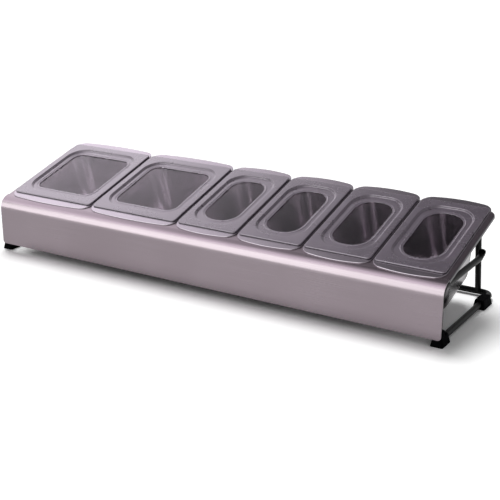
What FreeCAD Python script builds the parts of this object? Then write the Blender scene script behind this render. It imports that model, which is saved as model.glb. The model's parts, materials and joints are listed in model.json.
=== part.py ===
import FreeCAD, Part
import math
import os

# Countertop topping station: a tilted sheet-metal tray holds lift-out pans with clear
# lift-off lids, and stands loose on a bent wire stand with rubber boots.
# Millimetres. +X runs along the tray, -Y is the front apron, +Z is up, z = 0 is the floor.

# Tray
tray_length = 787.0
tray_sheet = 1.2
deck_tilt_degrees = 16.0
corner_height = 85.7
apron_lift = 10.5
apron_corner_radius = 5.0
front_bend_radius = 20.0
rear_strip = 8.8
deck_corner_radius = 12.0
lip_depth = 6.0
lip_bend_radius = 3.5
lip_setback = 5.0
hem_width = 7.0

# Pans, in order along the tray
large_flange_width = 165.8
small_flange_width = 108.5
large_pan_count = 2
small_pan_count = 4
flange_gap = 1.5
flange_setback = 13.0
flange_rise = 1.5
flange_length = 200.0
flange_bow = 3.0
flange_corner_radius = 18.0
flange_edge_radius = 0.7
flange_side = 10.0
flange_end = 24.6
pan_sheet = 0.8
pan_depth = 97.0
pan_draft_degrees = 9.0
pan_corner_radius = 34.0
pan_floor_corner_radius = 26.0
pan_floor_radius = 12.0
mouth_edge_radius = 0.6
cutout_clearance = 1.5

# Lids
lid_side_inset = 1.78
lid_end_inset = 14.5
lid_corner_radius = 6.0
lid_rim = 2.4
lid_edge_radius = 0.8
lid_wall = 1.6
dish_clearance = 1.4
recess_depth = 3.0
recess_draft = 1.0
ledge_side = 10.5
ledge_end = 13.0
window_step = 1.2
large_window_radius = 16.0
small_window_radius = 26.0

# Stand
rod_diameter = 9.0
side_rod_inset = 6.5
floor_rod_height = 6.4
rear_overhang = 25.2
upright_gap = 1.8
upper_bend_radius = 16.0
lower_bend_radius = 12.0
rear_bend_radius = 14.0
upper_rod_reach = 144.5
tip_bend_radius = 14.0
tip_angle_degrees = 45.0
tip_length = 11.0
tip_diameter = 10.0
tip_cover = 6.0
tip_crown = 2.4
prop_inset = 21.0
prop_bend_radius = 15.0

# Boots
boot_width = 19.0
boot_top_width = 13.5
boot_height = 13.5
boot_corner_radius = 3.0
boot_edge_radius = 1.2
boot_taper = 2.5
front_boot_inset = 0.5
front_boot_length = 29.5
elbow_gap = 0.8
elbow_length = 13.0
elbow_height = 22.0
rear_boot_length = 35.0
rear_boot_setback = 20.5

# Fits
seat_clearance = 0.05
rod_seat_clearance = 0.3
cut_overrun = 20.0
level_tolerance = 0.3
corner_limit_share = 0.48

tilt = math.radians(deck_tilt_degrees)
tip_angle = math.radians(tip_angle_degrees)
bend_turn = math.pi / 2 - tilt
bend_run = front_bend_radius * math.tan(bend_turn / 2)
lip_start = bend_run + lip_setback
pan_centre = flange_setback + flange_length / 2
mouth_length = flange_length - 2 * flange_end
deck_length = pan_centre + mouth_length / 2 + pan_sheet + cutout_clearance + rear_strip
overall_depth = deck_length * math.cos(tilt) + rear_overhang
front_y = -overall_depth / 2
rod_radius = rod_diameter / 2
side_rod_x = tray_length / 2 - side_rod_inset
rear_rod_y = overall_depth / 2 - rod_radius
upright_y = front_y + tray_sheet + upright_gap + rod_radius
flange_top = seat_clearance + flange_rise
lid_base = flange_top + seat_clearance
lid_top = lid_base + lid_rim
lid_length = flange_length - 2 * lid_end_inset
dish_inset = dish_clearance + lid_wall
recess_side = flange_side - lid_side_inset + dish_inset
recess_end = flange_end - lid_end_inset + dish_inset
recess_corner_radius = pan_corner_radius - dish_inset

flange_widths = [large_flange_width] * large_pan_count + [small_flange_width] * small_pan_count


def point(x, y, z):
    return FreeCAD.Vector(x, y, z)


def on_deck(shape):
    # Lays a shape built flat, with the deck's top at z = 0 and the sharp front corner at y = 0,
    # onto the tilted deck.
    tilted = shape.copy()
    rotation = FreeCAD.Rotation(point(1, 0, 0), deck_tilt_degrees)
    deck = FreeCAD.Placement(point(0, front_y, corner_height), rotation)
    tilted.Placement = deck.multiply(shape.Placement)
    return tilted


def deck_point(x, slope, rise):
    y = front_y + slope * math.cos(tilt) - rise * math.sin(tilt)
    z = corner_height + slope * math.sin(tilt) + rise * math.cos(tilt)
    return point(x, y, z)


def rounded_wire(width, length, radius, z):
    # A rectangle with arc corners, centred on the z axis. Short sides limit the arcs.
    radius = min(radius, corner_limit_share * min(width, length))
    x = width / 2
    y = length / 2
    reach = radius * (1 - math.sqrt(0.5))
    edges = []
    corners = [(1, 1), (-1, 1), (-1, -1), (1, -1)]
    ends = []
    for sign_x, sign_y in corners:
        along_y = point(sign_x * x, sign_y * (y - radius), z)
        middle = point(sign_x * (x - reach), sign_y * (y - reach), z)
        along_x = point(sign_x * (x - radius), sign_y * y, z)
        first, last = (along_y, along_x) if sign_x == sign_y else (along_x, along_y)
        ends.append((first, middle, last))
    for index, (first, middle, last) in enumerate(ends):
        edges.append(Part.Arc(first, middle, last).toShape())
        edges.append(Part.LineSegment(last, ends[(index + 1) % len(ends)][0]).toShape())
    return Part.Wire(edges)


def rounded_block(width, length, radius, bottom, top):
    face = Part.Face(rounded_wire(width, length, radius, bottom))
    return face.extrude(point(0, 0, top - bottom))


def rounded_flare(width, length, radius, top, size):
    # Eases the edge of an opening of the given outline by a small slope.
    low = rounded_wire(width, length, radius, top - size)
    high = rounded_wire(width + 2 * size, length + 2 * size, radius + size, top)
    return Part.makeLoft([low, high], True, True)


def edges_at(shape, z):
    level = []
    for edge in shape.Edges:
        box = edge.BoundBox
        if abs(box.ZMin - z) < level_tolerance and abs(box.ZMax - z) < level_tolerance:
            level.append(edge)
    return level


def rod_along(points, radii):
    # A round rod through the points, with an arc of the given radius at each inner point.
    edges = []
    start = points[0]
    for before, corner, after, radius in zip(points, points[1:], points[2:], radii):
        way_in = (before - corner).normalize()
        way_out = (after - corner).normalize()
        half_angle = way_in.getAngle(way_out) / 2
        run = radius / math.tan(half_angle)
        bisector = (way_in + way_out).normalize()
        depth = radius / math.sin(half_angle) - radius
        first = corner + way_in * run
        last = corner + way_out * run
        edges.append(Part.LineSegment(start, first).toShape())
        edges.append(Part.Arc(first, corner + bisector * depth, last).toShape())
        start = last
    edges.append(Part.LineSegment(start, points[-1]).toShape())
    section = Part.Circle(points[0], points[1] - points[0], rod_radius)
    return Part.Wire(edges).makePipeShell([Part.Wire([section.toShape()])], True, False)


def pan_places():
    # Each pan's flange width and centre along the tray, in a row centred on it.
    total = sum(flange_widths) + flange_gap * (len(flange_widths) - 1)
    left = -total / 2
    places = []
    for width in flange_widths:
        places.append((width, left + width / 2))
        left += width + flange_gap
    return places


def mouth_width(flange_width):
    return flange_width - 2 * flange_side


def flange_wire(width, inset, z):
    # Straight sides, round corners and a shallow bow across each end, drawn in by the inset.
    corner = flange_corner_radius - inset
    corner_x = width / 2 - flange_corner_radius
    bow_radius = (corner_x ** 2 + flange_bow ** 2) / (2 * flange_bow)
    bow_y = flange_length / 2 - bow_radius
    reach = bow_radius - flange_corner_radius
    corner_y = bow_y + math.sqrt(reach ** 2 - corner_x ** 2)
    join_x = corner_x / reach
    join_y = (corner_y - bow_y) / reach
    middle_angle = math.atan2(join_y, join_x) / 2
    side_x = corner_x + corner
    joint_x = corner_x + corner * join_x
    joint_y = corner_y + corner * join_y
    middle_x = corner_x + corner * math.cos(middle_angle)
    middle_y = corner_y + corner * math.sin(middle_angle)
    edges = []
    for sign in (1, -1):
        low = point(sign * side_x, -sign * corner_y, z)
        high = point(sign * side_x, sign * corner_y, z)
        near_joint = point(sign * joint_x, sign * joint_y, z)
        far_joint = point(-sign * joint_x, sign * joint_y, z)
        far_side = point(-sign * side_x, sign * corner_y, z)
        tip = point(0, sign * (flange_length / 2 - inset), z)
        edges.append(Part.LineSegment(low, high).toShape())
        edges.append(Part.Arc(high, point(sign * middle_x, sign * middle_y, z), near_joint).toShape())
        edges.append(Part.Arc(near_joint, tip, far_joint).toShape())
        edges.append(Part.Arc(far_joint, point(-sign * middle_x, sign * middle_y, z), far_side).toShape())
    return Part.Wire(edges)


def pan_bowl(width, length, radius, top, depth, floor_corner_radius, floor_radius):
    # A tapered tub with a rounded floor.
    shrink = 2 * depth * math.tan(math.radians(pan_draft_degrees))
    mouth = rounded_wire(width, length, radius, top)
    floor = rounded_wire(width - shrink, length - shrink, floor_corner_radius, top - depth)
    tub = Part.makeLoft([floor, mouth], True, True)
    return tub.makeFillet(floor_radius, edges_at(tub, top - depth))


def make_pan(flange_width):
    # A drawn pan: bowed flange with a turned-down edge, tapered walls and a rounded floor.
    width = mouth_width(flange_width)
    flange = Part.Face(flange_wire(flange_width, 0, seat_clearance)).extrude(point(0, 0, flange_rise))
    flange = flange.makeFillet(flange_edge_radius, edges_at(flange, flange_top))
    hollow = Part.Face(flange_wire(flange_width, pan_sheet, seat_clearance))
    flange = flange.cut(hollow.extrude(point(0, 0, flange_rise - pan_sheet)))
    skin = 2 * pan_sheet
    outer = pan_bowl(width + skin, mouth_length + skin, pan_corner_radius + pan_sheet,
                     flange_top - mouth_edge_radius, pan_depth + pan_sheet - mouth_edge_radius,
                     pan_floor_corner_radius + pan_sheet, pan_floor_radius + pan_sheet)
    inner = pan_bowl(width, mouth_length, pan_corner_radius, flange_top, pan_depth,
                     pan_floor_corner_radius, pan_floor_radius)
    flare = rounded_flare(width, mouth_length, pan_corner_radius, flange_top, mouth_edge_radius)
    return flange.fuse(outer).cut(inner).cut(flare).removeSplitter()


def make_lid(flange_width, window_radius):
    # A moulded lid: flat rim, a dished recess that drops into the pan's mouth, and a thin
    # window let into the recess.
    width = flange_width - 2 * lid_side_inset
    plate = rounded_block(width, lid_length, lid_corner_radius, lid_base, lid_top)
    plate = plate.makeFillet(lid_edge_radius, edges_at(plate, lid_top))
    recess_width = width - 2 * recess_side
    recess_length = lid_length - 2 * recess_end
    ledge_top = lid_top - recess_depth
    dish_bottom = ledge_top - window_step - lid_wall
    wall = 2 * lid_wall
    dish = rounded_block(recess_width + wall, recess_length + wall, recess_corner_radius + lid_wall,
                         dish_bottom, lid_base)
    dish = dish.makeFillet(lid_edge_radius, edges_at(dish, dish_bottom))
    draft = 2 * recess_draft
    opening = rounded_wire(recess_width, recess_length, recess_corner_radius, lid_top)
    ledge = rounded_wire(recess_width - draft, recess_length - draft,
                         recess_corner_radius - recess_draft, ledge_top)
    recess = Part.makeLoft([ledge, opening], True, True)
    window_width = recess_width - draft - 2 * ledge_side
    window_length = recess_length - draft - 2 * ledge_end
    window = rounded_block(window_width, window_length, window_radius, ledge_top - window_step, lid_top)
    flare = rounded_flare(recess_width, recess_length, recess_corner_radius, lid_top, lid_edge_radius)
    return plate.fuse(dish).cut(recess).cut(window).cut(flare).removeSplitter()


def make_front_sheet():
    # Apron, front bend and the strip of deck up to where the lips begin.
    inner_radius = front_bend_radius - tray_sheet
    middle = math.pi - bend_turn / 2

    def profile_point(slope, rise):
        return deck_point(-tray_length / 2, slope, rise)

    def arc_point(radius, angle):
        y = front_y + front_bend_radius + radius * math.cos(angle)
        z = corner_height - bend_run + radius * math.sin(angle)
        return point(-tray_length / 2, y, z)

    low_outer = point(-tray_length / 2, front_y, apron_lift)
    low_inner = point(-tray_length / 2, front_y + tray_sheet, apron_lift)
    outer_start = arc_point(front_bend_radius, math.pi)
    outer_end = arc_point(front_bend_radius, math.pi - bend_turn)
    inner_start = arc_point(inner_radius, math.pi)
    inner_end = arc_point(inner_radius, math.pi - bend_turn)
    deck_outer = profile_point(lip_start, 0)
    deck_inner = profile_point(lip_start, -tray_sheet)
    outline = [
        Part.LineSegment(low_outer, outer_start),
        Part.Arc(outer_start, arc_point(front_bend_radius, middle), outer_end),
        Part.LineSegment(outer_end, deck_outer),
        Part.LineSegment(deck_outer, deck_inner),
        Part.LineSegment(deck_inner, inner_end),
        Part.Arc(inner_end, arc_point(inner_radius, middle), inner_start),
        Part.LineSegment(inner_start, low_inner),
        Part.LineSegment(low_inner, low_outer),
    ]
    face = Part.Face(Part.Wire([piece.toShape() for piece in outline]))
    sheet = face.extrude(point(tray_length, 0, 0))
    corners = []
    for edge in edges_at(sheet, apron_lift):
        if edge.BoundBox.XLength < tray_sheet / 2:
            corners.append(edge)
    return sheet.makeFillet(apron_corner_radius, corners)


def deck_block(inset, bottom, top, front):
    # The deck's outline from the given front line to the rear, with its rear corners rounded.
    x = tray_length / 2 - inset
    rear = deck_length - inset
    corners = [
        point(-x, front, bottom),
        point(x, front, bottom),
        point(x, rear, bottom),
        point(-x, rear, bottom),
    ]
    block = Part.Face(Part.makePolygon(corners + corners[:1])).extrude(point(0, 0, top - bottom))
    uprights = []
    for edge in block.Edges:
        if edge.BoundBox.ZLength > 0 and edge.BoundBox.YLength < tray_sheet:
            if edge.CenterOfMass.y > (front + rear) / 2 and edge.BoundBox.XLength < tray_sheet:
                uprights.append(edge)
    block = block.makeFillet(deck_corner_radius - inset, uprights)
    rim = [edge for edge in edges_at(block, top) if edge.BoundBox.YMax > front + tray_sheet]
    return block.makeFillet(lip_bend_radius - inset, rim)


def side_hem(side):
    # The foot of a side lip turned in, so that it can rest on the stand's upper rod.
    width = hem_width + tray_sheet
    length = deck_length - deck_corner_radius - lip_start
    left = side * (tray_length - width) / 2 - width / 2
    return Part.makeBox(width, length, tray_sheet, point(left, lip_start, -lip_depth))


def make_tray():
    # One bent sheet: apron, front bend and a deck with turned-down side and rear lips.
    shell = deck_block(0, -lip_depth, 0, lip_start)
    inside = deck_block(tray_sheet, -lip_depth, -tray_sheet, lip_start - cut_overrun)
    deck = shell.cut(inside).fuse([side_hem(1), side_hem(-1)])
    tray = on_deck(deck).fuse(make_front_sheet()).removeSplitter()
    cutout_grow = 2 * (pan_sheet + cutout_clearance)
    cutout_radius = pan_corner_radius + pan_sheet + cutout_clearance
    for flange_width, centre in pan_places():
        hole = rounded_block(mouth_width(flange_width) + cutout_grow, mouth_length + cutout_grow,
                             cutout_radius, -cut_overrun, cut_overrun)
        hole.translate(point(centre, pan_centre, 0))
        tray = tray.cut(on_deck(hole))
    return tray


def upper_rod_height():
    # The front ends of the tray's side hems rest on the upper bends of the rods.
    seat = deck_point(0, lip_start, -lip_depth)
    reach = upper_bend_radius + rod_radius + rod_seat_clearance
    ahead = max(0, upright_y + upper_bend_radius - seat.y)
    return seat.z - math.sqrt(reach ** 2 - ahead ** 2) + upper_bend_radius


def tip_corner(x):
    return point(x, upright_y + upper_rod_reach, upper_rod_height())


def tip_end(x):
    rise = point(0, math.cos(tip_angle), math.sin(tip_angle))
    return tip_corner(x) + rise * tip_length


def make_base_wire():
    # One wire: from the middle of the rear rod, each half runs forward along the floor, up behind
    # the apron and back along the upper rod to an upturned tip.
    stations = [
        point(0, rear_rod_y, floor_rod_height),
        point(side_rod_x, rear_rod_y, floor_rod_height),
        point(side_rod_x, upright_y, floor_rod_height),
        point(side_rod_x, upright_y, upper_rod_height()),
        tip_corner(side_rod_x),
        tip_end(side_rod_x),
    ]
    radii = [rear_bend_radius, lower_bend_radius, upper_bend_radius, tip_bend_radius]
    half = rod_along(stations, radii)
    return half.fuse(half.mirror(point(0, 0, 0), point(1, 0, 0))).removeSplitter()


def make_rear_prop(base_wire):
    # Two uprights welded to the rear rod lean forward to a crossbar that carries the deck's rear lip.
    x = side_rod_x - prop_inset
    slope = deck_length - tray_sheet / 2
    rise = -lip_depth - rod_seat_clearance - rod_radius
    top = deck_point(x, slope, rise)
    foot = point(x, rear_rod_y, floor_rod_height)
    weld_share = 0.5
    low = foot + (top - foot).normalize() * (rod_radius * weld_share)
    ends = [low, top]
    mirrored = [point(-place.x, place.y, place.z) for place in reversed(ends)]
    prop = rod_along(ends + mirrored, [prop_bend_radius, prop_bend_radius])
    return prop.cut(base_wire)


def flared_boot(x, front, length):
    # A foot that is wider and longer at the floor than round the rod.
    base = rounded_wire(boot_width, length, boot_corner_radius, 0)
    top = rounded_wire(boot_top_width, length - 2 * boot_taper, boot_corner_radius, boot_height)
    foot = Part.makeLoft([base, top], True, True)
    foot = foot.makeFillet(boot_edge_radius, edges_at(foot, boot_height))
    foot.translate(point(x, front + length / 2, 0))
    return foot


def make_front_boot(x, base_wire):
    # An elbow boot round the bend at the foot of the front upright.
    foot = flared_boot(x, front_y + front_boot_inset, front_boot_length)
    sleeve = rounded_block(boot_top_width, elbow_length, boot_corner_radius, 0, elbow_height)
    sleeve = sleeve.makeFillet(boot_edge_radius, edges_at(sleeve, elbow_height))
    sleeve.translate(point(x, front_y + tray_sheet + elbow_gap + elbow_length / 2, 0))
    return foot.fuse(sleeve).removeSplitter().cut(base_wire)


def make_rear_boot(x, base_wire):
    # A flared boot on the floor rod, just ahead of the rear bend.
    front = rear_rod_y - rear_boot_setback - rear_boot_length
    return flared_boot(x, front, rear_boot_length).cut(base_wire)


def make_rod_tip(x, base_wire):
    # A round-ended cap pushed over the upturned end of the upper rod.
    length = tip_cover + tip_crown
    dome_share = 0.6
    cap = Part.makeCylinder(tip_diameter / 2, length)
    cap = cap.makeFillet(tip_diameter / 2 * dome_share, edges_at(cap, length))
    cap.translate(point(0, 0, -tip_cover))
    lean = FreeCAD.Rotation(point(1, 0, 0), tip_angle_degrees - 90)
    cap.Placement = FreeCAD.Placement(tip_end(x), lean).multiply(cap.Placement)
    return cap.cut(base_wire)


def node_names(kind):
    # Names by size and place, counted from the left.
    names = []
    for size, count in (("large", large_pan_count), ("small", small_pan_count)):
        for number in range(count):
            names.append(f"{kind}_{size}_{number + 1}")
    return names


def main():
    nodes = {"tray": make_tray()}
    pan_names = node_names("pan")
    lid_names = node_names("lid")
    for pan_name, lid_name, (flange_width, centre) in zip(pan_names, lid_names, pan_places()):
        large = flange_width == large_flange_width
        pan = make_pan(flange_width)
        lid = make_lid(flange_width, large_window_radius if large else small_window_radius)
        for name, shape in ((pan_name, pan), (lid_name, lid)):
            shape.translate(point(centre, pan_centre, 0))
            nodes[name] = on_deck(shape)
    base_wire = make_base_wire()
    nodes["base_wire"] = base_wire
    nodes["rear_prop"] = make_rear_prop(base_wire)
    for side, x in (("left", -side_rod_x), ("right", side_rod_x)):
        nodes[f"front_boot_{side}"] = make_front_boot(x, base_wire)
        nodes[f"rear_boot_{side}"] = make_rear_boot(x, base_wire)
        nodes[f"rod_tip_{side}"] = make_rod_tip(x, base_wire)
    os.makedirs("parts", exist_ok=True)
    for name, shape in nodes.items():
        solids = shape.Solids
        print(name, len(solids), "solid", shape.isValid(), round(shape.Volume), "mm3")
        shape.exportStep(f"parts/{name}.step")


main()
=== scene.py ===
import json
import math
import bpy
from mathutils import Matrix, Vector


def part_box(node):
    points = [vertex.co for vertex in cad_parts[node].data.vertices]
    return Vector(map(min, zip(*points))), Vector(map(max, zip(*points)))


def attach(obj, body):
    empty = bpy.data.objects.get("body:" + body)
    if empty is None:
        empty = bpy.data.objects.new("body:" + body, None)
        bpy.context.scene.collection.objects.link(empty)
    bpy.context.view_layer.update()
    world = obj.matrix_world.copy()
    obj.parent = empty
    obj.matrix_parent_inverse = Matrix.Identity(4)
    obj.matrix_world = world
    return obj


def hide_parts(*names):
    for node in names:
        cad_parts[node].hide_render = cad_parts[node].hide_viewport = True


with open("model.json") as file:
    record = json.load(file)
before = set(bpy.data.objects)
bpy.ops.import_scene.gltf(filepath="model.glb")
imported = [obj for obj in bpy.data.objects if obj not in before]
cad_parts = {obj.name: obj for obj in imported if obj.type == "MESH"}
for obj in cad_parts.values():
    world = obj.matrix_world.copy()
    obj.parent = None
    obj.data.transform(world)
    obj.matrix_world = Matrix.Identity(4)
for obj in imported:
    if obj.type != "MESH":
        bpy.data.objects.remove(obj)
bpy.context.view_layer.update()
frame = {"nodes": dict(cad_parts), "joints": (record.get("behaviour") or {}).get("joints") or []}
nodes = frame["nodes"]
bpy.ops.object.select_all(action="DESELECT")
print("frame loaded with", len(nodes), "CAD nodes")

# the deck's tilt, read from the way the tray lifts
liftAxis = Vector(next(j["axis"] for j in frame["joints"] if j["name"] == "tray_lift"))
deckTilt = math.atan2(-liftAxis.y, liftAxis.z)
flatten = Matrix.Rotation(-deckTilt, 3, "X")
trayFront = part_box("tray")[0][1]
sizes = ["large_1", "large_2", "small_1", "small_2", "small_3", "small_4"]


def deckBox(node):
    # lowest and highest corner along the row, up the slope and square to the deck
    points = [flatten @ v.co for v in nodes[node].data.vertices]
    low = Vector([min(p[i] for p in points) for i in range(3)])
    high = Vector([max(p[i] for p in points) for i in range(3)])
    return low, high


# camera
photoView = {
    "place": (0.8579, -1.2117, 0.576),    # y is counted from the tray's front face
    "turn": (71.74, 0.0, 31.5),    # degrees
    "lens": 75.88,
    "sensor": 36.0,
    "shift": (-0.02146, -0.02504),
}


def makeCamera():
    x, y, z = photoView["place"]
    bpy.ops.object.camera_add(location=(x, trayFront + y, z))
    camera = bpy.context.object
    camera.name = "photoCamera"
    camera.rotation_euler = [math.radians(a) for a in photoView["turn"]]
    camera.data.sensor_width = photoView["sensor"]
    camera.data.lens = photoView["lens"]
    camera.data.shift_x, camera.data.shift_y = photoView["shift"]
    bpy.context.scene.camera = camera
    bpy.context.scene.view_settings.view_transform = "Standard"


makeCamera()
print("camera set")

# node helpers
noiseRange = (0.3, 0.7)    # where nearly all of a noise texture's values lie
colourMix = {"factor": 0, "first": 6, "second": 7, "result": 2}    # socket numbers of a colour mix


def newTree(owner):
    owner.use_nodes = True
    tree = owner.node_tree
    tree.nodes.clear()
    return tree


def addNode(tree, kind, **settings):
    node = tree.nodes.new(kind)
    for name, value in settings.items():
        setattr(node, name, value)
    return node


def setInputs(node, **values):
    for name, value in values.items():
        node.inputs[name].default_value = value
    return node


def startGroup(name, ins, outs):
    group = bpy.data.node_groups.new(name, "ShaderNodeTree")
    for label, kind, value in ins:
        socket = group.interface.new_socket(label, in_out="INPUT", socket_type=kind)
        socket.default_value = value
    for label, kind in outs:
        group.interface.new_socket(label, in_out="OUTPUT", socket_type=kind)
    return group, addNode(group, "NodeGroupInput"), addNode(group, "NodeGroupOutput")


def placeGroup(tree, group, **values):
    node = addNode(tree, "ShaderNodeGroup", node_tree=group)
    return setInputs(node, **values)


def mathNode(tree, operation, first, second):
    node = addNode(tree, "ShaderNodeMath", operation=operation)
    for socket, value in zip(node.inputs, (first, second)):
        if hasattr(value, "links"):
            tree.links.new(value, socket)
        else:
            socket.default_value = value
    return node.outputs[0]


def slide(tree, value, fromRange, toRange=(0.0, 1.0), kind="LINEAR"):
    # runs over toRange as the value runs over fromRange
    level = addNode(tree, "ShaderNodeMapRange", interpolation_type=kind)
    setInputs(level, **{"From Min": fromRange[0], "From Max": fromRange[1],
                        "To Min": toRange[0], "To Max": toRange[1]})
    tree.links.new(value, level.inputs["Value"])
    return level.outputs["Result"]


def measure(tree, coordinate, direction):
    # how far a point lies, or a normal points, along a direction of the part
    coords = addNode(tree, "ShaderNodeTexCoord")
    dot = addNode(tree, "ShaderNodeVectorMath", operation="DOT_PRODUCT")
    tree.links.new(coords.outputs[coordinate], dot.inputs[0])
    dot.inputs[1].default_value = direction
    return dot.outputs["Value"]


def facing(tree, direction, limits):
    # slides from 0 to 1 as the surface turns towards a direction of the part
    return slide(tree, measure(tree, "Normal", direction), limits)


def tinted(tree, factor, look):
    ramp = addNode(tree, "ShaderNodeValToRGB")
    colours = (look["dark"], look["light"])
    for element, colour, place in zip(ramp.color_ramp.elements, colours, noiseRange):
        element.color = (*colour, 1)
        element.position = place
    tree.links.new(factor, ramp.inputs["Fac"])
    return ramp.outputs["Color"]


def blended(tree, factor, first, second):
    # first colour where the factor is 0, second colour where it is 1
    mix = addNode(tree, "ShaderNodeMix", data_type="RGBA")
    tree.links.new(factor, mix.inputs[colourMix["factor"]])
    tree.links.new(first, mix.inputs[colourMix["first"]])
    mix.inputs[colourMix["second"]].default_value = (*second, 1)
    return mix.outputs[colourMix["result"]]


def startMaterial(name):
    material = bpy.data.materials.new(name)
    tree = newTree(material)
    shader = addNode(tree, "ShaderNodeBsdfPrincipled")
    end = addNode(tree, "ShaderNodeOutputMaterial")
    tree.links.new(shader.outputs[0], end.inputs["Surface"])
    return material, tree, shader


def addRoughness(tree, factor, limits, shader):
    tree.links.new(slide(tree, factor, noiseRange, limits), shader.inputs["Roughness"])


def addBump(tree, height, strength, depth, shader):
    bump = setInputs(addNode(tree, "ShaderNodeBump"), Strength=strength, Distance=depth)
    tree.links.new(height, bump.inputs["Height"])
    tree.links.new(bump.outputs["Normal"], shader.inputs["Normal"])


# fine parallel lines left by a brushing belt that runs along X
def makeBrushedGroup():
    group, enter, leave = startGroup(
        "brushedLines",
        [("Lines", "NodeSocketFloat", 700.0), ("Length", "NodeSocketFloat", 6.0)],
        [("Streak", "NodeSocketFloat"), ("Haze", "NodeSocketFloat")])
    coords = addNode(group, "ShaderNodeTexCoord")
    scale = addNode(group, "ShaderNodeCombineXYZ")
    for name, socket in zip(("Length", "Lines", "Lines"), scale.inputs):
        group.links.new(enter.outputs[name], socket)
    stretch = addNode(group, "ShaderNodeVectorMath", operation="MULTIPLY")
    group.links.new(coords.outputs["Object"], stretch.inputs[0])
    group.links.new(scale.outputs[0], stretch.inputs[1])
    lines = setInputs(addNode(group, "ShaderNodeTexNoise"), Scale=1.0, Detail=4.0, Roughness=0.65)
    group.links.new(stretch.outputs[0], lines.inputs["Vector"])
    haze = setInputs(addNode(group, "ShaderNodeTexNoise"), Scale=7.0, Detail=3.0, Roughness=0.5)
    group.links.new(coords.outputs["Object"], haze.inputs["Vector"])
    group.links.new(lines.outputs[0], leave.inputs["Streak"])
    group.links.new(haze.outputs[0], leave.inputs["Haze"])
    return group


# even fine grain, for drawn steel, moulded plastic, powder coat and rubber
def makeGrainGroup():
    group, enter, leave = startGroup(
        "fineGrain",
        [("Grain", "NodeSocketFloat", 900.0), ("Patch", "NodeSocketFloat", 12.0)],
        [("Grain", "NodeSocketFloat"), ("Patch", "NodeSocketFloat")])
    coords = addNode(group, "ShaderNodeTexCoord")
    for name in ("Grain", "Patch"):
        noise = setInputs(addNode(group, "ShaderNodeTexNoise"), Detail=3.0, Roughness=0.55)
        group.links.new(coords.outputs["Object"], noise.inputs["Vector"])
        group.links.new(enter.outputs[name], noise.inputs["Scale"])
        group.links.new(noise.outputs[0], leave.inputs[name])
    return group


brushedGroup = makeBrushedGroup()
grainGroup = makeGrainGroup()

# the side lips' dark colour below is painted shade, for the shade and dark reflection they show
traySteel = {
    "dark": (0.213, 0.178, 0.196), "light": (0.265, 0.225, 0.248), "lip": (0.04, 0.038, 0.043),
    "rough": (0.2, 0.29), "lines": 1300.0, "length": 6.0, "streakShare": 0.6,
    "bump": 0.12, "bumpDepth": 0.0001,
    "lipFrom": 0.006, "lipTo": 0.014,    # metres behind the front face
    "lipFacing": (0.55, 0.9),
}


def lipPaintedShade(tree):
    # painted shade on the lips at the deck's two ends, not on the apron's cut edges: a dark colour for the
    # shade and dark reflection there
    start, end = trayFront + traySteel["lipFrom"], trayFront + traySteel["lipTo"]
    behind = slide(tree, measure(tree, "Object", (0, 1, 0)), (start, end))
    right = facing(tree, (1, 0, 0), traySteel["lipFacing"])
    left = facing(tree, (-1, 0, 0), traySteel["lipFacing"])
    return mathNode(tree, "MULTIPLY", mathNode(tree, "MAXIMUM", right, left), behind)


def makeTraySteel():
    material, tree, shader = startMaterial("brushedTraySteel")
    grain = placeGroup(tree, brushedGroup, Lines=traySteel["lines"], Length=traySteel["length"])
    share = traySteel["streakShare"]
    mixed = mathNode(tree, "ADD", mathNode(tree, "MULTIPLY", grain.outputs["Streak"], share),
                     mathNode(tree, "MULTIPLY", grain.outputs["Haze"], 1 - share))
    sheet = tinted(tree, mixed, traySteel)
    # the side lips are painted dark: painted shade
    tree.links.new(blended(tree, lipPaintedShade(tree), sheet, traySteel["lip"]), shader.inputs["Base Color"])
    setInputs(shader, Metallic=1.0)
    addRoughness(tree, mixed, traySteel["rough"], shader)
    addBump(tree, grain.outputs["Streak"], traySteel["bump"], traySteel["bumpDepth"], shader)
    return material


panSteel = {
    # dark and light are the pans' insides, painted lighter than the flanges of the same steel: painted
    # light for the light the windows let in
    "dark": (0.54, 0.505, 0.53), "light": (0.64, 0.60, 0.63),
    "flange": (0.34, 0.31, 0.34), "flangeDepth": (0.006, 0.003),    # metres below the flange's top
    # the outside colour is painted shade on the pans' walls and floors under the deck
    "outsideShade": (0.07, 0.069, 0.07), "outsideShadeShare": 0.72, "outsideShadeFacing": (0.05, 0.12),
    "rough": (0.18, 0.25), "grain": 600.0, "patch": 18.0, "bump": 0.02, "bumpDepth": 0.0001,
}


def panFlanges(tree):
    # 1 on the flanges and 0 down in the pans, where the steel is painted lighter: painted light
    top = deckBox("pan_large_1")[1].z
    deep, shallow = panSteel["flangeDepth"]
    return slide(tree, measure(tree, "Object", liftAxis), (top - deep, top - shallow))


def makePanSteel():
    material, tree, shader = startMaterial("drawnPanSteel")
    grain = placeGroup(tree, grainGroup, Grain=panSteel["grain"], Patch=panSteel["patch"])
    drawn = tinted(tree, grain.outputs["Patch"], panSteel)
    # the insides are painted lighter than the flanges: painted light
    inside = blended(tree, panFlanges(tree), drawn, panSteel["flange"])
    below = facing(tree, -liftAxis, panSteel["outsideShadeFacing"])    # walls and floor under the deck, painted dark: painted shade
    outsideShade = mathNode(tree, "MULTIPLY", below, panSteel["outsideShadeShare"])
    tree.links.new(blended(tree, outsideShade, inside, panSteel["outsideShade"]), shader.inputs["Base Color"])
    setInputs(shader, Metallic=1.0)
    addRoughness(tree, grain.outputs["Patch"], panSteel["rough"], shader)
    addBump(tree, grain.outputs["Grain"], panSteel["bump"], panSteel["bumpDepth"], shader)
    return material


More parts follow.
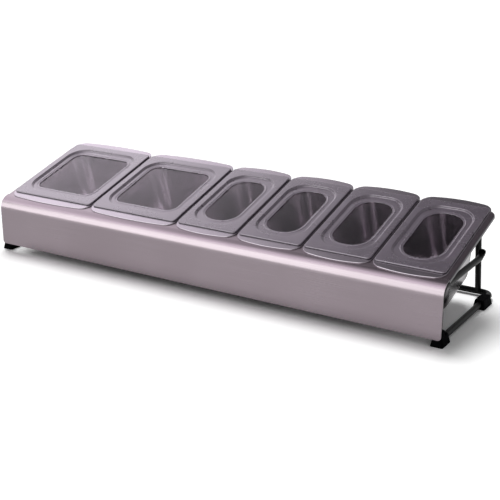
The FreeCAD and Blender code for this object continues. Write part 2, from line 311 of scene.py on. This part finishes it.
lidPlastic = {
    "frost": {
        "dark": (0.085, 0.069, 0.09), "light": (0.112, 0.092, 0.118), "rough": (0.24, 0.32),
        "ior": 1.5, "pass": 0.12, "gloss": 1.0, "tint": (1.0, 0.85, 1.0), "coat": 0.6, "bump": 0.02,
    },
    "clear": {
        "dark": (0.78, 0.75, 0.79), "light": (0.83, 0.80, 0.84), "rough": (0.02, 0.05),
        "ior": 1.2, "pass": 1.0, "gloss": 0.5, "tint": (1.0, 0.95, 1.0), "coat": 0.0, "bump": 0.0,
    },
    "grain": 500.0, "patch": 22.0, "bumpDepth": 0.0001, "coatIor": 1.8, "coatRough": 0.22,
}


def makeLidPlastic(kind):
    look = lidPlastic[kind]
    material, tree, shader = startMaterial(kind + "Lid")
    grain = placeGroup(tree, grainGroup, Grain=lidPlastic["grain"], Patch=lidPlastic["patch"])
    tree.links.new(tinted(tree, grain.outputs["Patch"], look), shader.inputs["Base Color"])
    setInputs(shader, **{"Transmission Weight": look["pass"], "IOR": look["ior"],
                         "Specular IOR Level": look["gloss"], "Specular Tint": (*look["tint"], 1),
                         "Coat Weight": look["coat"], "Coat IOR": lidPlastic["coatIor"],
                         "Coat Roughness": lidPlastic["coatRough"]})
    addRoughness(tree, grain.outputs["Patch"], look["rough"], shader)
    if look["bump"]:
        addBump(tree, grain.outputs["Grain"], look["bump"], lidPlastic["bumpDepth"], shader)
    return material


wireCoat = {
    "dark": (0.003, 0.003, 0.003), "light": (0.006, 0.006, 0.006), "rough": (0.38, 0.5), "gloss": 0.12,
    "grain": 1500.0, "patch": 40.0, "bump": 0.15, "bumpDepth": 0.0002,
}
bootRubber = {
    "dark": (0.001, 0.001, 0.0015), "light": (0.0025, 0.0025, 0.003), "rough": (0.55, 0.75), "gloss": 0.01,
    "grain": 900.0, "patch": 40.0, "bump": 0.3, "bumpDepth": 0.0002,
}


def makeBlack(name, look):
    material, tree, shader = startMaterial(name)
    grain = placeGroup(tree, grainGroup, Grain=look["grain"], Patch=look["patch"])
    tree.links.new(tinted(tree, grain.outputs["Patch"], look), shader.inputs["Base Color"])
    setInputs(shader, **{"Specular IOR Level": look["gloss"]})
    addRoughness(tree, grain.outputs["Grain"], look["rough"], shader)
    addBump(tree, grain.outputs["Grain"], look["bump"], look["bumpDepth"], shader)
    return material


trayFinish = makeTraySteel()
panFinish = makePanSteel()
frostFinish = makeLidPlastic("frost")
clearFinish = makeLidPlastic("clear")
wireFinish = makeBlack("powderCoat", wireCoat)
rubberFinish = makeBlack("bootRubber", bootRubber)
print("finishes made")


def dress(node, material):
    target = nodes[node]
    target.data.materials.clear()
    target.data.materials.append(material)


dress("tray", trayFinish)
for size in sizes:
    dress("pan_" + size, panFinish)
    dress("lid_" + size, frostFinish)
for node in ("base_wire", "rear_prop"):
    dress(node, wireFinish)
for node in nodes:
    if "boot" in node or "tip" in node:
        dress(node, rubberFinish)
print("CAD nodes dressed")


# lids, made as thin moulded shells from stacked rounded outlines
lidShape = {
    "wall": 0.001, "skirt": 0.0019, "rimRadius": 0.006, "rimEdge": 0.0012,
    "recessSide": 0.0112, "recessEnd": 0.0131, "recessRadius": 0.031, "recessDepth": 0.003,
    "recessDraft": 0.001, "recessEdge": 0.0014,
    "windowSide": 0.0227, "windowEnd": 0.027, "windowStep": 0.0012, "windowEdge": 0.0005,
    "windowRadius": {"large": 0.016, "small": 0.026},
    "beadOut": 0.0034, "beadHalf": 0.0013, "beadRise": 0.0005,
    "cornerSteps": 8, "arcSteps": 4, "smoothAngle": 40.0,    # angle in degrees
    "stackGap": 0.01,    # between outlines while they are bridged
}


def arcSteps():
    count = lidShape["arcSteps"]
    return [math.pi / 2 * i / count for i in range(count + 1)]


def lidOutlines(width, length, windowRadius):
    # every outline from the skirt's foot to the window's floor: width, length, corner radius, height
    shape = lidShape
    outlines = []

    def outline(sideInset, endInset, radius, inset, height):
        outlines.append((width - 2 * (sideInset + inset), length - 2 * (endInset + inset),
                         radius - inset, height))

    def rim(inset, height):
        outline(0, 0, shape["rimRadius"], inset, height)

    def recess(inset, height):
        outline(shape["recessSide"], shape["recessEnd"], shape["recessRadius"], inset, height)

    def window(inset, height):
        outline(shape["windowSide"], shape["windowEnd"], windowRadius, inset, height)

    depth, draft = shape["recessDepth"], shape["recessDraft"]
    edge = shape["rimEdge"]
    rim(0, -shape["skirt"])
    for angle in arcSteps():
        rim(edge * (1 - math.cos(angle)), -edge * (1 - math.sin(angle)))
    edge = shape["recessEdge"]
    for angle in arcSteps():
        recess(edge * (math.sin(angle) - 1), -edge * (1 - math.cos(angle)))
    for angle in arcSteps():
        recess(draft + edge * (1 - math.cos(angle)), -depth + edge * (1 - math.sin(angle)))
    for step in range(-shape["arcSteps"], shape["arcSteps"] + 1):
        share = step / shape["arcSteps"]
        rise = shape["beadRise"] * (1 + math.cos(math.pi * share)) / 2
        window(-shape["beadOut"] + shape["beadHalf"] * share, -depth + rise)
    edge = shape["windowEdge"]
    for angle in arcSteps():
        window(edge * (math.sin(angle) - 1), -depth - edge * (1 - math.cos(angle)))
    for angle in arcSteps():
        window(edge * (1 - math.cos(angle)), -depth - shape["windowStep"] + edge * (1 - math.sin(angle)))
    return outlines


def selectRings(mesh, levels):
    slack = lidShape["stackGap"] / 4
    for edge in mesh.edges:
        heights = [mesh.vertices[i].co.z for i in edge.vertices]
        edge.select = any(all(abs(h - level) < slack for h in heights) for level in levels)


def bridgeOutlines(name, outlines):
    # the outlines are drawn one above the other, bridged in turn, then lowered to their heights
    bpy.ops.mesh.primitive_plane_add(size=1)
    shell = bpy.context.object
    shell.name = name
    bpy.ops.object.mode_set(mode="EDIT")
    bpy.ops.mesh.select_mode(type="EDGE")
    bpy.ops.mesh.delete(type="VERT")
    gap = lidShape["stackGap"]
    for level, (width, length, radius, height) in enumerate(outlines):
        middle = (0, 0, level * gap)
        bpy.ops.mesh.primitive_plane_add(size=1, location=middle)
        bpy.ops.transform.resize(value=(width, length, 1), center_override=middle)
        bpy.ops.mesh.bevel(offset=radius, segments=lidShape["cornerSteps"], affect="VERTICES",
                           clamp_overlap=False)
        bpy.ops.mesh.delete(type="ONLY_FACE")
    for level in range(len(outlines) - 1):
        bpy.ops.mesh.select_all(action="DESELECT")
        bpy.ops.object.mode_set(mode="OBJECT")
        selectRings(shell.data, [level * gap, (level + 1) * gap])
        bpy.ops.object.mode_set(mode="EDIT")
        bpy.ops.mesh.bridge_edge_loops()
    bpy.ops.mesh.select_all(action="DESELECT")
    bpy.ops.object.mode_set(mode="OBJECT")
    selectRings(shell.data, [(len(outlines) - 1) * gap])
    bpy.ops.object.mode_set(mode="EDIT")
    bpy.ops.mesh.edge_face_add()
    bpy.ops.object.mode_set(mode="OBJECT")
    for vertex in shell.data.vertices:
        vertex.co.z = outlines[round(vertex.co.z / gap)][3]
    bpy.ops.object.mode_set(mode="EDIT")
    bpy.ops.mesh.select_all(action="SELECT")
    bpy.ops.mesh.normals_make_consistent(inside=False)
    bpy.ops.object.mode_set(mode="OBJECT")
    floor = max(shell.data.polygons, key=lambda p: p.area)
    if floor.normal.z < 0:
        bpy.ops.object.mode_set(mode="EDIT")
        bpy.ops.mesh.flip_normals()
        bpy.ops.object.mode_set(mode="OBJECT")
    return shell


def finishShell(shell):
    solid = shell.modifiers.new("wall", "SOLIDIFY")
    solid.thickness, solid.offset = lidShape["wall"], -1
    bpy.ops.object.modifier_apply(modifier=solid.name)
    bpy.ops.object.shade_smooth_by_angle(angle=math.radians(lidShape["smoothAngle"]))
    flats = shell.modifiers.new("flats", "WEIGHTED_NORMAL")    # keeps the wide flat bands flat
    flats.keep_sharp = True
    bpy.ops.object.modifier_apply(modifier=flats.name)


def placeOnDeck(piece, centre):
    piece.matrix_world = Matrix.Rotation(deckTilt, 4, "X") @ Matrix.Translation(centre)
    bpy.ops.object.transform_apply(location=True, rotation=True, scale=True)


def makeLid(size):
    low, high = deckBox("lid_" + size)
    width, length = high.x - low.x, high.y - low.y
    windowRadius = lidShape["windowRadius"][size.split("_")[0]]
    lid = bridgeOutlines("moulded_lid_" + size, lidOutlines(width, length, windowRadius))
    lid.data.materials.append(frostFinish)
    lid.data.materials.append(clearFinish)
    windowTop = -lidShape["recessDepth"] - lidShape["windowStep"] / 2
    for face in lid.data.polygons:
        face.material_index = 1 if face.center.z < windowTop else 0
    finishShell(lid)
    placeOnDeck(lid, ((low.x + high.x) / 2, (low.y + high.y) / 2, high.z))
    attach(lid, "lid_" + size)
    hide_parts("lid_" + size)
    bpy.ops.object.select_all(action="DESELECT")


for size in sizes:
    makeLid(size)
print("lids moulded")


# studio
def seenWhite(tree):
    # 1 for the camera and for what metal and glass show
    path = addNode(tree, "ShaderNodeLightPath")
    mirrored = mathNode(tree, "MAXIMUM", path.outputs["Is Glossy Ray"], path.outputs["Is Transmission Ray"])
    return mathNode(tree, "MAXIMUM", path.outputs["Is Camera Ray"], mirrored)


worldLight = {"seen": 1.0, "ambient": 0.31}


def makeWorld():
    world = bpy.data.worlds.new("whiteStudio")
    bpy.context.scene.world = world
    tree = newTree(world)
    mix = addNode(tree, "ShaderNodeMixShader")
    tree.links.new(seenWhite(tree), mix.inputs[0])
    for socket, level in zip(mix.inputs[1:], (worldLight["ambient"], worldLight["seen"])):
        white = setInputs(addNode(tree, "ShaderNodeBackground"), Color=(1, 1, 1, 1), Strength=level)
        tree.links.new(white.outputs[0], socket)
    end = addNode(tree, "ShaderNodeOutputWorld")
    tree.links.new(mix.outputs[0], end.inputs["Surface"])


paleFloor = {"size": 16.0, "colours": (0.8, 1.25)}    # as it lights the part, and as it is seen


def makeFloor():
    bpy.ops.mesh.primitive_plane_add(size=paleFloor["size"], location=(0, 0, 0))
    floor = bpy.context.object
    floor.name = "paleFloor"
    material = bpy.data.materials.new("paleFloor")
    tree = newTree(material)
    paint = addNode(tree, "ShaderNodeBsdfDiffuse")
    tree.links.new(slide(tree, seenWhite(tree), (0.0, 1.0), paleFloor["colours"]), paint.inputs["Color"])
    end = addNode(tree, "ShaderNodeOutputMaterial")
    tree.links.new(paint.outputs[0], end.inputs["Surface"])
    floor.data.materials.append(material)


def hangPanel(name, corners, tint):
    # a glowing flat panel that only metal and glass see
    bpy.ops.mesh.primitive_plane_add(size=1)
    panel = bpy.context.object
    panel.name = name
    for vertex, corner in zip(panel.data.vertices, corners):
        vertex.co = corner
    material = bpy.data.materials.new(name)
    tree = newTree(material)
    glow = setInputs(addNode(tree, "ShaderNodeEmission"), Color=(*tint, 1))
    end = addNode(tree, "ShaderNodeOutputMaterial")
    tree.links.new(glow.outputs[0], end.inputs["Surface"])
    panel.data.materials.append(material)
    panel.visible_camera = False
    panel.visible_diffuse = False
    panel.visible_shadow = False
    return tree, glow.inputs["Strength"]


reflectorCard = {
    "height": 1.25, "across": (-2.6, 2.4), "along": (-1.02, 2.6), "tint": (1.0, 0.95, 1.02),
    "fade": (-1.55, -0.15), "levels": (2.1, 0.2),    # from the left to the right
    "stripFade": (-1.0, 0.5), "stripLevels": (2.8, 0.0), "stripEnd": (0.1, 0.5),    # from the front back
}


def makeCard():
    # a reflector over the station: white at the left, dark at the right, brighter towards the front
    card = reflectorCard
    corners = [(x, y, card["height"]) for y in card["along"] for x in card["across"]]
    tree, strength = hangPanel("reflectorCard", corners, card["tint"])
    across, along = measure(tree, "Object", (1, 0, 0)), measure(tree, "Object", (0, 1, 0))
    level = slide(tree, across, card["fade"], card["levels"], "SMOOTHSTEP")
    strip = mathNode(tree, "MULTIPLY",
                     slide(tree, along, card["stripFade"], card["stripLevels"], "SMOOTHSTEP"),
                     slide(tree, across, card["stripEnd"], (1.0, 0.0), "SMOOTHSTEP"))
    tree.links.new(mathNode(tree, "MAXIMUM", level, strip), strength)


frontWall = {
    "place": -3.2, "across": (-4.5, 0.9), "up": (0.02, 3.8), "tint": (0.965, 1.0, 0.975),
    "fade": (-2.3, 0.9), "levels": (4.2, 2.6),    # from the left to the right
}


def makeWall():
    # a tall white wall in front and to the left, which lights the tray's front bend
    wall = frontWall
    corners = [(x, wall["place"], z) for z in wall["up"] for x in wall["across"]]
    tree, strength = hangPanel("frontWall", corners, wall["tint"])
    across = measure(tree, "Object", (1, 0, 0))
    tree.links.new(slide(tree, across, wall["fade"], wall["levels"], "SMOOTHSTEP"), strength)


softSun = {"from": (-0.36, 0.34, 0.87), "strength": 2.2, "spread": 30.0}    # spread in degrees


def makeSun():
    # wide soft light from the left and behind, which lays the shadow on the floor
    bpy.ops.object.light_add(type="SUN")
    sun = bpy.context.object
    sun.name = "softSun"
    sun.data.energy = softSun["strength"]
    sun.data.angle = math.radians(softSun["spread"])
    sun.rotation_euler = Vector(softSun["from"]).to_track_quat("Z", "Y").to_euler()
    sun.visible_glossy = False
    sun.visible_transmission = False


makeWorld()
makeFloor()
makeCard()
makeWall()
makeSun()
print("studio set")
